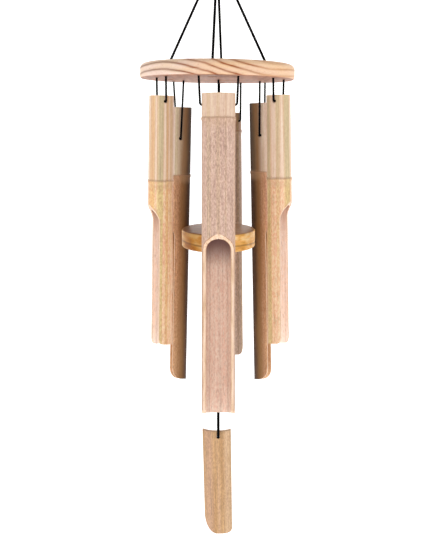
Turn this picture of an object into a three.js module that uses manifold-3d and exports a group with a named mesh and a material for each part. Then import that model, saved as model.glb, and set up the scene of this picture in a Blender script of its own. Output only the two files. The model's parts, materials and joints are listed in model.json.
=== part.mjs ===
// Bamboo wind chime: a steel ring, four cords, a round pine board, six scooped bamboo tubes on cord loops,
// a wooden clapper and a bamboo sail. Millimetres, +Z up. The origin is the point inside the top of the ring
// that rests on a hook. The front of the chime faces -Y.

import * as THREE from 'three';
import { mergeVertices } from 'three/addons/utils/BufferGeometryUtils.js';
import Module from 'manifold-3d';

const wasm = await Module();
wasm.setup();

// ---------- driving dimensions ----------

const GAP = 0.35; // clearance between pieces that touch

const RING = { radius: 9, wire: 2.4 }; // centreline radius and wire diameter

const SUSPENSION = {
  cord: 2, // diameter
  apex: -24.3, // height where the four cords meet, at the centre of the knot
  knot: 4, // radius of the gathering knot
  eyes: 2.2, // between the two cords that go over the ring
  feet: 39.4, // radius of the four feet on the board
  turn: -5.5, // degrees that the pattern of feet is turned from the front
  mouth: 1.2, // height over the board where the cord turns down into its hole
  bend: 3,
  hole: 3.2, // diameter of the hole in the board
  pocket: 7.4, // diameter of the counterbore that hides the end knot
  pocketDepth: 5.8,
  endKnot: 2.7, // radius
};

const BOARD = {
  radius: 62.5,
  thickness: 12,
  middle: -115, // height of its middle
  edge: 4.6, // radius of its rounded upper edge
  footEdge: 1.8, // and of the crisper lower one
  tilt: 0.75, // degrees that it hangs lower at +X
};

const STRAND = {
  cord: 1.6,
  hole: 3,
  bend: 1.7,
  tie: 2.1, // radius of the tie knot
  groove: 2.3, // depth of the groove in the board's top that each tie lies in
  pocket: 5.4, // diameter of the tie knot's pocket
  pocketDepth: 4.2,
};

// Tubes: plan place, outer radius at the rim and the foot, wall, heights of the rim, cord holes, node and
// foot, the way the scoop faces (degrees from the front towards +X), the height where the scoop starts, and
// half the distance between the two cord holes in the board with the turn of that pair from the tube's own.
// The foot's corners by the cut are rounded by a width and a height, and the whole foot slants, lower away
// from the front of the chime, where it reaches the foot's height.
const TUBES = [
  {
    name: 'front', x: 0.8, y: -52, rimRadius: 12.5, footRadius: 13, wall: 2.7,
    rim: -133.8, hole: -142.2, node: -151.7, foot: -383.6, facing: 0, scoop: -236.5, pair: 14.6, pairTurn: 0,
    corner: [3, 2.5], slant: 0.4,
  },
  {
    name: 'left_front', x: -43.2, y: -28, rimRadius: 9.5, footRadius: 10.5, wall: 3,
    rim: -134.8, hole: -139.2, node: -200.4, foot: -336.7, facing: -66, scoop: -218.5, pair: 10.7,
    pairTurn: 0, corner: [3, 4.5], slant: 0.31,
  },
  {
    name: 'right_front', x: 47.6, y: -24.5, rimRadius: 9.5, footRadius: 10.6, wall: 2.2,
    rim: -134.2, hole: -138.8, node: -198.7, foot: -337.2, facing: 64, scoop: -216.5, pair: 11.6, pairTurn: 0,
    corner: [3, 4.5], slant: 0.31,
  },
  {
    name: 'left_back', x: -33.2, y: 30.7, rimRadius: 10.6, footRadius: 10.5, wall: 2.4,
    rim: -142.8, hole: -169.5, node: -201.5, foot: -391.9, facing: -79, scoop: -241, pair: 12.3, pairTurn: 13,
    corner: [8, 10], slant: 0.4,
  },
  {
    name: 'right_back', x: 38.9, y: 28, rimRadius: 10.5, footRadius: 10.6, wall: 2.2,
    rim: -139.3, hole: -166.6, node: -198.2, foot: -391, facing: 75, scoop: -239, pair: 11.9, pairTurn: 0,
    corner: [8, 10], slant: 0.4,
  },
  {
    name: 'back', x: 11.5, y: 49.5, rimRadius: 10.4, footRadius: 10.6, wall: 2.2,
    rim: -147.6, hole: -154.8, node: -163.3, foot: -378.6, facing: 143, scoop: -238, pair: 11.7, pairTurn: 0,
    corner: [8, 10], slant: 0.4,
  },
];
const SCOOP = { depth: 0.32, run: 14, entry: 0.45 }; // cut plane as a share of the radius, arch length, slope
const NODE = { ridge: 0.5, halfHeight: 1.6, septum: 2.6 }; // ridge, half its width, wall inside the node
const [BOARD_SIDES, TUBE_SIDES, CLAPPER_SIDES] = [56, 24, 44];
const KNOT_SQUASH = 0.85; // height of a knot drawn tight against wood, as a share of its width

const CLAPPER = {
  x: 1, // its cord's place across the board
  cord: 1.6,
  hole: 2.9,
  collar: 2, // radius of the knot that the clapper hangs from, in a pocket under the board
  pocket: 5.4, // diameter
  pocketDepth: 4.8,
  top: -243.8,
  thickness: 14.6,
  radius: 30.6,
  edge: 1.6,
  footEdge: 1.6,
  knot: 2.5, // radius of the knot it rests on
};

const SAIL = {
  cord: 2.3,
  knot: 2.3, // radius of the knots at both ends of its cord
  top: -422.4,
  height: 95.2,
  width: 24.8,
  footWidth: 24,
  thickness: 3,
  bow: 27, // radius of the slat's curve across its width
  hole: 3.2,
  holeDrop: 4.7, // hole's centre below the top edge
  holeAside: 1.3, // hole's centre from the middle of the width
  cornerLeft: [10.2, 17], // width and height of its rounded lower corners
  cornerRight: [5, 4],
  bend: 1.5,
};

const LOOKS = {
  steel: { color: 0xb9bcc0, roughness: 0.3, metalness: 1 },
  cord: { color: 0x17171a, roughness: 0.7 },
  pine: { color: 0xdfb98c, roughness: 0.6 },
  bamboo: { color: 0xc9a27a, roughness: 0.6 },
  clapper: { color: 0xc9973f, roughness: 0.6 },
  sail: { color: 0xb98a55, roughness: 0.6 },
};

// ---------- solids ----------

const rad = THREE.MathUtils.degToRad;
const V = (x, y, z) => new THREE.Vector3(x, y, z);

function toSolid(geometry) {
  geometry.deleteAttribute('normal');
  geometry.deleteAttribute('uv');
  const merged = mergeVertices(geometry, 1e-4);
  const mesh = new wasm.Mesh({
    numProp: 3,
    vertProperties: new Float32Array(merged.attributes.position.array),
    triVerts: new Uint32Array(merged.index.array),
  });
  return new wasm.Manifold(mesh);
}

function toGeometry(solid) {
  const mesh = solid.getMesh();
  const geometry = new THREE.BufferGeometry();
  geometry.setAttribute('position', new THREE.BufferAttribute(new Float32Array(mesh.vertProperties), 3));
  geometry.setIndex(new THREE.BufferAttribute(new Uint32Array(mesh.triVerts), 1));
  geometry.computeVertexNormals();
  return geometry;
}

// A solid turned about Z from [radius, height] points that start and end on the axis
function turned(points, sides) {
  const profile = points.map(([r, z]) => new THREE.Vector2(r, z));
  return toSolid(new THREE.LatheGeometry(profile, sides).rotateX(Math.PI / 2));
}

// Points of a quarter circle about [cx, cz], from angle a to angle b in degrees
function arc(cx, cz, radius, a, b, steps) {
  const points = [];
  for (let i = 0; i <= steps; i += 1) {
    const t = rad(a + ((b - a) * i) / steps);
    points.push([cx + radius * Math.cos(t), cz + radius * Math.sin(t)]);
  }
  return points;
}

// A prism of a [u, v] outline, centred on the plane of its outline, with u, v and length along three axes
function prism(outline, length, axisU, axisV, axisLength) {
  const shape = new THREE.Shape(outline.map(([u, v]) => new THREE.Vector2(u, v)));
  const geometry = new THREE.ExtrudeGeometry(shape, { depth: length, bevelEnabled: false, steps: 1 });
  geometry.translate(0, 0, -length / 2);
  geometry.applyMatrix4(new THREE.Matrix4().makeBasis(axisU, axisV, axisLength));
  return toSolid(geometry);
}

// A disc centred on the origin, with rounded edges
function discSolid({ radius, thickness, edge, footEdge }, sides) {
  const half = thickness / 2;
  const lower = arc(radius - footEdge, footEdge - half, footEdge, -90, 0, 3);
  const upper = arc(radius - edge, half - edge, edge, 0, 90, 3);
  return turned([[0, -half], ...lower, ...upper, [0, half]], sides);
}

function rod(radius, from, to, sides = 8) {
  const along = to.clone().sub(from);
  const geometry = new THREE.CylinderGeometry(radius, radius, along.length(), sides);
  geometry.applyQuaternion(new THREE.Quaternion().setFromUnitVectors(V(0, 1, 0), along.clone().normalize()));
  const middle = from.clone().add(to).multiplyScalar(0.5);
  return toSolid(geometry.translate(middle.x, middle.y, middle.z));
}

function ball(radius, centre, squash = 1) {
  const geometry = new THREE.SphereGeometry(radius, 10, 8).rotateX(Math.PI / 2).scale(1, 1, squash);
  return toSolid(geometry.translate(centre.x, centre.y, centre.z));
}

// A route through chosen points, swept with one ring of section at each point
class Route extends THREE.Curve {
  constructor(points) {
    super();
    this.points = points;
  }

  getPointAt(u) {
    const last = this.points.length - 1;
    const i = Math.min(Math.floor(u * last + 1e-6), last - 1);
    return this.points[i].clone().lerp(this.points[i + 1], u * last - i);
  }

  getTangentAt(u) {
    const last = this.points.length - 1;
    const i = Math.round(u * last);
    const arriving = i > 0 ? this.direction(i - 1) : this.direction(0);
    const leaving = i < last ? this.direction(i) : arriving;
    return arriving.clone().add(leaving).normalize();
  }

  direction(i) {
    return this.points[i + 1].clone().sub(this.points[i]).normalize();
  }
}

function cordSolid(points, diameter) {
  const section = new THREE.Shape();
  section.absarc(0, 0, diameter / 2, 0, 2 * Math.PI);
  const options = { steps: points.length - 1, curveSegments: 4, extrudePath: new Route(points) };
  return toSolid(new THREE.ExtrudeGeometry(section, options));
}

// Points that round the corner at `at`, coming from `from` and leaving to `to`
function bend(from, at, to, radius, steps = 3) {
  const arriving = from.clone().sub(at).normalize();
  const leaving = to.clone().sub(at).normalize();
  const half = arriving.angleTo(leaving) / 2;
  const start = at.clone().addScaledVector(arriving, radius / Math.tan(half));
  const end = at.clone().addScaledVector(leaving, radius / Math.tan(half));
  const inward = arriving.clone().add(leaving).normalize();
  const centre = at.clone().addScaledVector(inward, radius / Math.sin(half));
  const points = [];
  for (let i = 0; i <= steps; i += 1) {
    const blend = start.clone().lerp(end, i / steps).sub(centre).normalize();
    points.push(centre.clone().addScaledVector(blend, radius));
  }
  return points;
}

function centreOfMass(solid) {
  const { vertProperties, triVerts } = solid.getMesh();
  const corner = (i) => new THREE.Vector3().fromArray(vertProperties, 3 * triVerts[i]);
  const sum = V(0, 0, 0);
  let volume = 0;
  for (let i = 0; i < triVerts.length; i += 3) {
    const [a, b, c] = [corner(i), corner(i + 1), corner(i + 2)];
    const part = a.dot(b.clone().cross(c)) / 6;
    volume += part;
    sum.addScaledVector(a.add(b).add(c), part / 4);
  }
  return sum.divideScalar(volume);
}

// ---------- the tree ----------

const chime = new THREE.Group();
const materials = Object.fromEntries(
  Object.entries(LOOKS).map(([name, look]) => [name, new THREE.MeshStandardMaterial(look)]),
);

function add(name, solid, material, parent = chime) {
  const mesh = new THREE.Mesh(toGeometry(solid), materials[material]);
  mesh.name = name;
  parent.add(mesh);
  return mesh;
}

// ---------- ring and gathering knot ----------

const ringCentre = -(RING.radius - RING.wire / 2);
const ringFoot = ringCentre - RING.radius; // middle of the wire at the bottom of the ring

function ring() {
  const geometry = new THREE.TorusGeometry(RING.radius, RING.wire / 2, 10, 32).rotateX(Math.PI / 2);
  return toSolid(geometry.translate(0, 0, ringCentre));
}

// Two cords side by side go up from the knot, over the ring's wire and down again
function gatheringKnot() {
  const reach = RING.wire / 2 + GAP + SUSPENSION.cord / 2;
  let solid = ball(SUSPENSION.knot, V(0, 0, SUSPENSION.apex));
  for (const side of [-1, 1]) {
    const x = (side * SUSPENSION.eyes) / 2;
    const over = arc(0, ringFoot, reach, 0, 180, 6).map(([y, z]) => V(x, y, z));
    const inKnot = SUSPENSION.knot / 3;
    const route = [V(x, inKnot, SUSPENSION.apex), ...over, V(x, -inKnot, SUSPENSION.apex)];
    solid = solid.add(cordSolid(route, SUSPENSION.cord));
  }
  return solid;
}

add('hanging_ring', ring(), 'steel');
add('gathering_knot', gatheringKnot(), 'cord');

// ---------- board and suspension cords ----------

const board = new THREE.Group();
board.position.z = BOARD.middle;
board.rotation.y = rad(BOARD.tilt);
board.updateMatrixWorld();
chime.add(board);

const boardTop = BOARD.thickness / 2;
const onBoard = (x, y, z) => V(x, y, z).applyMatrix4(board.matrixWorld);
const feet = [0, 90, 180, 270].map((quarter) => {
  const angle = rad(quarter + SUSPENSION.turn - 90);
  return V(SUSPENSION.feet * Math.cos(angle), SUSPENSION.feet * Math.sin(angle), 0);
});

// The two holes in the board over a tube's own pair, in the board's frame
function boardHoles(tube) {
  const angle = rad(tube.facing + tube.pairTurn);
  const aside = V(Math.cos(angle), Math.sin(angle), 0).multiplyScalar(tube.pair);
  const above = V(tube.x, tube.y, 0);
  return [above.clone().sub(aside), above.clone().add(aside)];
}

// The groove between two holes in the board's top
function grooveSolid(from, to) {
  const along = to.clone().sub(from);
  const bar = new THREE.BoxGeometry(along.length(), STRAND.hole, 2 * STRAND.groove);
  bar.rotateZ(Math.atan2(along.y, along.x));
  const middle = from.clone().add(to).multiplyScalar(0.5);
  return toSolid(bar.translate(middle.x, middle.y, boardTop));
}

function boardSolid() {
  const half = BOARD.thickness / 2;
  let solid = discSolid(BOARD, BOARD_SIDES);
  const bore = (at, diameter, from, to, sides) => {
    solid = solid.subtract(rod(diameter / 2, V(at.x, at.y, from), V(at.x, at.y, to), sides));
  };
  for (const foot of feet) {
    bore(foot, SUSPENSION.hole, -half - 1, half + 1, 10);
    bore(foot, SUSPENSION.pocket, -half - 1, SUSPENSION.pocketDepth - half, 12);
  }
  for (const tube of TUBES) {
    const [from, to] = boardHoles(tube);
    bore(from, STRAND.hole, -half - 1, half + 1, 8);
    bore(to, STRAND.hole, -half - 1, half + 1, 8);
    bore(tube, STRAND.pocket, half - STRAND.pocketDepth, half + 1, 10);
    solid = solid.subtract(grooveSolid(from, to));
  }
  bore(V(CLAPPER.x, 0, 0), CLAPPER.hole, -half - 1, half + 1, 10);
  bore(V(CLAPPER.x, 0, 0), CLAPPER.pocket, -half - 1, CLAPPER.pocketDepth - half, 12);
  return solid;
}

// One cord from the gathering knot to its foot, down through the board and knotted in its pocket
function suspensionCord(foot) {
  const apex = V(0, 0, SUSPENSION.apex);
  const mouth = onBoard(foot.x, foot.y, boardTop + SUSPENSION.mouth);
  const knot = onBoard(foot.x, foot.y, -boardTop + SUSPENSION.pocketDepth / 2);
  const start = apex.clone().add(mouth.clone().sub(apex).setLength(SUSPENSION.knot + GAP));
  const middle = start.clone().lerp(mouth, 0.5);
  const route = [start, middle, ...bend(start, mouth, knot, SUSPENSION.bend), knot];
  return cordSolid(route, SUSPENSION.cord).add(ball(SUSPENSION.endKnot, knot, KNOT_SQUASH));
}

add('board', boardSolid(), 'pine', board);
feet.forEach((foot, i) => add(`suspension_cord_${i + 1}`, suspensionCord(foot), 'cord'));

// ---------- tubes ----------

// Outer radius of a tube at a height, straight from rim to foot
function radiusAt(tube, z) {
  return THREE.MathUtils.mapLinear(z, tube.rim, tube.foot, tube.rimRadius, tube.footRadius);
}

// The tube with its cord holes at the origin, its axis along Z and its scoop towards -Y
function tubeSolid(tube) {
  const outer = (z) => radiusAt(tube, z);
  const inner = (z) => outer(z) - tube.wall;
  const under = tube.node - NODE.septum / 2;
  const over = tube.node + NODE.septum / 2;
  const profile = [
    [0, under], [inner(under), under], [inner(tube.foot), tube.foot], [outer(tube.foot), tube.foot],
    [outer(tube.node), tube.node - NODE.halfHeight], [outer(tube.node) + NODE.ridge, tube.node],
    [outer(tube.node), tube.node + NODE.halfHeight], [outer(tube.rim), tube.rim], [inner(tube.rim), tube.rim],
    [inner(over), over], [0, over],
  ];
  let solid = turned(profile.map(([r, z]) => [r, z - tube.hole]), TUBE_SIDES);
  const reach = tube.footRadius + 3;
  const hole = rod(STRAND.hole / 2, V(-reach, 0, 0), V(reach, 0, 0));
  solid = solid.subtract(hole).subtract(scoopCut(tube, reach));
  return solid.intersect(footBlock(tube, reach));
}

// How far the cut lies from the tube's axis at a share of the arch's length, from surface to plane
function scoopDepth(tube, share) {
  const surface = radiusAt(tube, tube.scoop);
  const plane = SCOOP.depth * tube.footRadius;
  const ease = share ** 2 * (3 - 2 * share);
  const entry = SCOOP.entry * SCOOP.run * share * (1 - share) ** 2;
  return surface - (surface - plane) * ease - entry;
}

// What the scoop takes away: in from the surface along a smooth arch, then straight down past the foot
function scoopCut(tube, reach) {
  const top = tube.scoop - tube.hole;
  const plane = SCOOP.depth * tube.footRadius;
  const below = tube.foot - tube.hole - reach;
  const steps = 8;
  const outline = [[-radiusAt(tube, tube.scoop) - SCOOP.entry, top + 1]];
  for (let i = 0; i <= steps; i += 1) {
    outline.push([-scoopDepth(tube, i / steps), top - (SCOOP.run * i) / steps]);
  }
  outline.push([-plane, below], [-2 * reach, below], [-2 * reach, top + 1]);
  return prism(outline, 3 * reach, V(0, 1, 0), V(0, 0, 1), V(1, 0, 0));
}

// A block round the tube, seen from its side: the foot slants and its corner by the cut is rounded
function footBlock(tube, reach) {
  const plane = SCOOP.depth * tube.footRadius;
  const [width, height] = tube.corner;
  const [aside, back] = [tube.slant * Math.sin(rad(tube.facing)), tube.slant * Math.cos(rad(tube.facing))];
  const floor = (y) => tube.foot - tube.hole + tube.slant * tube.footRadius - back * y;
  const corner = arc(0, 0, 1, 180, 270, 5).map(([u, v]) => {
    const y = (u + 1) * width - plane;
    return [y, floor(y) + (v + 1) * height];
  });
  const top = tube.rim - tube.hole + reach;
  const outline = [[-reach, top], [-reach, corner[0][1]], ...corner, [reach, floor(reach)], [reach, top]];
  return prism(outline, 3 * reach, V(0, 1, 0), V(0, 0, 1), V(1, 0, -aside));
}

// The loop that carries a tube: down one side, through both holes and up the other side
function loopRoute(tube) {
  const across = V(Math.cos(rad(tube.facing)), Math.sin(rad(tube.facing)), 0);
  const hole = V(tube.x, tube.y, tube.hole);
  const side = radiusAt(tube, tube.hole) + GAP + STRAND.cord / 2;
  const corners = [-1, 1].map((sign) => hole.clone().addScaledVector(across, sign * side));
  const tops = boardHoles(tube).map((at) => onBoard(at.x, at.y, -boardTop - GAP));
  return [
    tops[0],
    ...bend(tops[0], corners[0], corners[1], STRAND.bend),
    ...bend(corners[0], corners[1], tops[1], STRAND.bend),
    tops[1],
  ];
}

// The same cord on the board: up one hole, along the groove with its tie knot, and down the other hole
function tieSolid(tube) {
  const [from, to] = boardHoles(tube);
  const low = -boardTop;
  const high = boardTop - STRAND.groove + GAP + STRAND.cord / 2;
  const at = (place, z) => V(place.x, place.y, z);
  const route = [
    at(from, low),
    ...bend(at(from, low), at(from, high), at(to, high), STRAND.bend),
    ...bend(at(from, high), at(to, high), at(to, low), STRAND.bend),
    at(to, low),
  ];
  const middle = from.clone().add(to).multiplyScalar(0.5);
  const knotHeight = boardTop - STRAND.pocketDepth + GAP + KNOT_SQUASH * STRAND.tie;
  return cordSolid(route, STRAND.cord).add(ball(STRAND.tie, at(middle, knotHeight), KNOT_SQUASH));
}

for (const tube of TUBES) {
  const hung = new THREE.Group();
  hung.position.set(tube.x, tube.y, tube.hole);
  hung.rotation.z = rad(tube.facing);
  chime.add(hung);
  const solid = tubeSolid(tube);
  const mass = centreOfMass(solid);
  const mesh = add(`tube_${tube.name}`, solid, 'bamboo', hung);
  mesh.rotation.x = Math.atan(mass.y / mass.z); // it leans until its centre of mass is under the cord
  add(`tube_loop_${tube.name}`, cordSolid(loopRoute(tube), STRAND.cord), 'cord');
  add(`tube_tie_${tube.name}`, tieSolid(tube), 'cord', board);
}

// ---------- clapper ----------

const pocketRoof = CLAPPER.pocketDepth - boardTop;
const collarHeight = onBoard(CLAPPER.x, 0, pocketRoof - GAP - CLAPPER.collar).z;
const clapperFoot = CLAPPER.top - CLAPPER.thickness;
const clapperKnot = clapperFoot - GAP - CLAPPER.knot;
const onCord = (z) => V(CLAPPER.x, 0, z);

// The cord in the board, with the knot that stops it on top
function clapperTop() {
  const knot = V(CLAPPER.x, 0, boardTop + GAP + KNOT_SQUASH * SUSPENSION.endKnot);
  const cord = rod(CLAPPER.cord / 2, V(CLAPPER.x, 0, pocketRoof), knot);
  return cord.add(ball(SUSPENSION.endKnot, knot, KNOT_SQUASH));
}

function clapperSolid() {
  const hole = rod(CLAPPER.hole / 2, V(0, 0, -CLAPPER.thickness), V(0, 0, CLAPPER.thickness), 10);
  return discSolid(CLAPPER, CLAPPER_SIDES).subtract(hole);
}

function clapperCord() {
  const start = onCord(collarHeight - CLAPPER.collar - GAP);
  return rod(CLAPPER.cord / 2, onCord(clapperKnot), start).add(ball(CLAPPER.knot, onCord(clapperKnot)));
}

add('clapper_stop_knot', clapperTop(), 'cord', board);
add('clapper_collar_knot', ball(CLAPPER.collar, onCord(collarHeight)), 'cord');
add('clapper_cord', clapperCord(), 'cord');
add('clapper', clapperSolid(), 'clapper').position.set(CLAPPER.x, 0, CLAPPER.top - CLAPPER.thickness / 2);

// ---------- sail ----------

const sailKnot = clapperKnot - CLAPPER.knot - GAP - SAIL.knot;
const sailHole = SAIL.top - SAIL.holeDrop;
const sailPivot = sailHole + SAIL.hole / 2 - SAIL.cord / 2 - GAP; // the cord bears on the top of the hole

// Points of a lower corner rounded by an ellipse: the left corner from 180 degrees, the right from 270
function rounded(x, z, [width, height], from, steps) {
  const inward = from === 180 ? 1 : -1;
  return arc(inward, 1, 1, from, from + 90, steps).map(([u, v]) => [x + u * width, z + v * height]);
}

// The slat with the pivot at the origin of X and Z and its face bowed towards -Y
function sailSolid() {
  const { width, footWidth, bow, thickness, cornerLeft, cornerRight } = SAIL;
  const spread = Math.asin((width / 2 + 1) / bow) * THREE.MathUtils.RAD2DEG;
  const band = [
    ...arc(0, 0, bow, -90 - spread, -90 + spread, 10),
    ...arc(0, 0, bow - thickness, -90 + spread, -90 - spread, 10),
  ];
  const slab = prism(band, 2 * SAIL.height, V(1, 0, 0), V(0, 1, 0), V(0, 0, 1));
  const top = SAIL.top - sailPivot;
  const foot = top - SAIL.height;
  const middle = -SAIL.holeAside;
  const [left, right] = [middle - footWidth / 2, middle + footWidth / 2];
  const outline = [
    [middle - width / 2, top],
    ...rounded(left, foot, cornerLeft, 180, 6),
    ...rounded(right, foot, cornerRight, 270, 3),
    [middle + width / 2, top],
  ];
  const holeHeight = sailHole - sailPivot;
  const bored = rod(SAIL.hole / 2, V(0, -2 * bow, holeHeight), V(0, 2 * bow, holeHeight), 12);
  return slab.intersect(prism(outline, 4 * bow, V(1, 0, 0), V(0, 0, 1), V(0, -1, 0))).subtract(bored);
}

const sail = sailSolid();
const sailMass = centreOfMass(sail);
const sailShift = -sailMass.y; // its centre of mass hangs in the plane of the clapper's cord
const sailFace = sailShift - SAIL.bow; // front of the slat at its middle
const sailBack = sailFace + SAIL.thickness;

// Down in front of the slat, back through the hole and knotted behind
function sailCord() {
  const start = onCord(sailKnot - SAIL.knot - GAP);
  const turn = V(CLAPPER.x, sailFace - GAP - SAIL.cord / 2, sailPivot);
  const knot = V(CLAPPER.x, sailBack + GAP + SAIL.knot, sailPivot);
  const route = [start, start.clone().lerp(turn, 0.5), ...bend(start, turn, knot, SAIL.bend), knot];
  return cordSolid(route, SAIL.cord).add(ball(SAIL.knot, knot));
}

add('sail_knot', ball(SAIL.knot, onCord(sailKnot)), 'cord');
add('sail_cord', sailCord(), 'cord');
const sailHung = new THREE.Group();
sailHung.position.set(CLAPPER.x, sailShift, sailPivot);
// The slat turns until its centre of mass is under the hole
sailHung.rotation.y = Math.atan(-sailMass.x / sailMass.z);
chime.add(sailHung);
add('sail', sail, 'sail', sailHung);

export default chime;
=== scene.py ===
"""Bamboo wind chime: the looks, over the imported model. Metres, in the model's own frame."""

import json
import math

import bmesh
import bpy
from mathutils import Matrix, Vector, noise

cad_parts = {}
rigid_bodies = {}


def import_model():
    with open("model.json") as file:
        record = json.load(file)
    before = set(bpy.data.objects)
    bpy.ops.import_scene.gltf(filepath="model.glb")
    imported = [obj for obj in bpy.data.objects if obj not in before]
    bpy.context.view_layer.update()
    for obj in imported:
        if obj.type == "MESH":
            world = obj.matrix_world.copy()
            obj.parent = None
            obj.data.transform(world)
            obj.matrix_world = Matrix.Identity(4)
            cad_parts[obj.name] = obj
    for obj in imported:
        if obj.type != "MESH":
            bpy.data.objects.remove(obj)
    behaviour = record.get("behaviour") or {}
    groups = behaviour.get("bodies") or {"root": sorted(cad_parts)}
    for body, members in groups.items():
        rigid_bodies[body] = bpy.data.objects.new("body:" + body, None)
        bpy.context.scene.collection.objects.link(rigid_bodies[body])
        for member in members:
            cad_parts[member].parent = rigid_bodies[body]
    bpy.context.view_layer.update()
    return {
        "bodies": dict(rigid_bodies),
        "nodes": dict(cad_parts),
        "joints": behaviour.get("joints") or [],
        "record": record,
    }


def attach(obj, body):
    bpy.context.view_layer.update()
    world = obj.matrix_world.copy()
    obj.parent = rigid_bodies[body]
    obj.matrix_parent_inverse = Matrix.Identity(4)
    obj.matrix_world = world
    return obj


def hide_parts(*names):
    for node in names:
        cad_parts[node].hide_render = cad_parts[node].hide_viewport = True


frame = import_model()

MM = 0.001
TAU = 2 * math.pi

# ---------- sizes, in millimetres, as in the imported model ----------

GAP = 0.35
RING = {"radius": 9.0, "wire": 2.4}
SUSPENSION = {"cord": 2.0, "apex": -24.3, "feet": 39.4, "turn": -5.5, "hole": 3.2,
              "pocket": 7.4, "pocket_depth": 5.8, "end_knot": 2.7}
BOARD = {"radius": 62.5, "thickness": 12.0, "middle": -115.0, "edge": 4.6, "foot_edge": 1.8, "tilt": 0.75}
STRAND = {"cord": 1.6, "hole": 3.0, "bend": 1.7, "tie": 2.1, "groove": 2.3, "pocket": 5.4,
          "pocket_depth": 4.2}
KNOT_SQUASH = 0.85
# the board's growth lines, in metres: their height rises and falls as a wave across the board
GRAIN = {"wave": 35.7, "rise": 0.0094, "warp": 0.003, "offset": 0.0011, "spacing": 0.005}
CLAPPER = {"x": 1.0, "cord": 1.6, "hole": 2.9, "collar": 2.0, "pocket": 5.4, "pocket_depth": 4.8,
           "top": -243.8, "thickness": 14.6, "radius": 30.6, "edge": 1.6, "knot": 2.5}
SAIL = {"cord": 2.3, "knot": 2.3, "top": -422.4, "height": 95.2, "width": 24.8, "foot_width": 24.0,
        "thickness": 3.0, "bow": 27.0, "hole": 3.2, "hole_drop": 4.7, "hole_aside": 1.3,
        "corner_left": (10.2, 17.0), "corner_right": (5.0, 4.0), "bend": 1.5, "turn": -1.142, "shift": 24.52}
SCOOP = {"depth": 0.32, "run": 14.0, "entry": 0.45}
NODE = {"septum": 2.6, "ridge": 0.45, "ridge_drop": 0.6, "ridge_spread": 1.5, "scar": 0.28,
        "scar_lift": 1.3, "scar_spread": 0.55, "shoulder": 0.05}
OVAL = {"squeeze": 0.006, "uneven": 0.0015}  # how far a tube is from round, as shares of its radius
WRAP = {"cord": 1.7, "turns": 4, "steps": 24, "radius": 2.0, "bulge": 0.85, "top": 2.3, "height": 4.8}
TUCK = {"loop": 1.5, "tie": 2.2, "line": 1.0}  # how far cord ends reach into the board or their knot
CUT_EDGE = 0.15  # darkened edges of a cut face, as a share of its width
FOOT_ZONE = 30.0  # height over which a tube's rows bend to the shape of its foot

# name: plan place, rim and foot radius, wall, heights of rim, cord holes, node and foot, facing, lean,
# scoop start, half the distance between its holes in the board and that pair's turn, the width and height
# of the foot's rounded corners by the cut, and the foot's slant
TUBES = {
    "front": dict(x=0.8, y=-52, rim_r=12.5, foot_r=13, wall=2.7, rim=-133.8, hole=-142.2, node=-151.7,
                  foot=-383.6, facing=0, lean=1.419, scoop=-236.5, pair=14.6, turn=0, corner=(3, 2.5),
                  slant=0.4),
    "left_front": dict(x=-43.2, y=-28, rim_r=9.5, foot_r=10.5, wall=3, rim=-134.8, hole=-139.2, node=-200.4,
                       foot=-336.7, facing=-66, lean=1.234, scoop=-218.5, pair=10.7, turn=0,
                       corner=(3, 4.5), slant=0.31),
    "right_front": dict(x=47.6, y=-24.5, rim_r=9.5, foot_r=10.6, wall=2.2, rim=-134.2, hole=-138.8,
                        node=-198.7, foot=-337.2, facing=64, lean=1.331, scoop=-216.5, pair=11.6, turn=0,
                        corner=(3, 4.5), slant=0.31),
    "left_back": dict(x=-33.2, y=30.7, rim_r=10.6, foot_r=10.5, wall=2.4, rim=-142.8, hole=-169.5,
                      node=-201.5, foot=-391.9, facing=-79, lean=1.458, scoop=-241, pair=12.3, turn=13,
                      corner=(8, 10), slant=0.4),
    "right_back": dict(x=38.9, y=28, rim_r=10.5, foot_r=10.6, wall=2.2, rim=-139.3, hole=-166.6,
                       node=-198.2, foot=-391, facing=75, lean=1.467, scoop=-239, pair=11.9, turn=0,
                       corner=(8, 10), slant=0.4),
    "back": dict(x=11.5, y=49.5, rim_r=10.4, foot_r=10.6, wall=2.2, rim=-147.6, hole=-154.8, node=-163.3,
                 foot=-378.6, facing=143, lean=1.293, scoop=-238, pair=11.7, turn=0, corner=(8, 10),
                 slant=0.4),
}

# ---------- camera, lights and stage ----------

EYE = Vector((-1.83, -529.0, -150.0)) * MM  # about level with the tubes' upper ends
PITCH = 7.0  # degrees down
LENS = 42.95
SHIFT = -0.1383  # the picture's middle is below the eye, and its uprights stay upright


def place_camera():
    camera = bpy.data.objects.new("camera", bpy.data.cameras.new("camera"))
    camera.data.sensor_width = 36
    camera.data.lens = LENS
    camera.data.shift_y = SHIFT
    camera.data.clip_start = 0.01
    camera.location = EYE
    camera.rotation_euler = (math.radians(90 - PITCH), 0, 0)
    bpy.context.collection.objects.link(camera)
    bpy.context.scene.camera = camera


def area_light(name, place, target, size, power, colour=(1, 1, 1)):
    light = bpy.data.lights.new(name, "AREA")
    light.shape = "RECTANGLE"
    light.size, light.size_y = size
    light.energy = power
    light.color = colour
    lamp = bpy.data.objects.new(name, light)
    lamp.location = place
    lamp.rotation_euler = (Vector(target) - Vector(place)).to_track_quat("-Z", "Y").to_euler()
    bpy.context.collection.objects.link(lamp)


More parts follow.
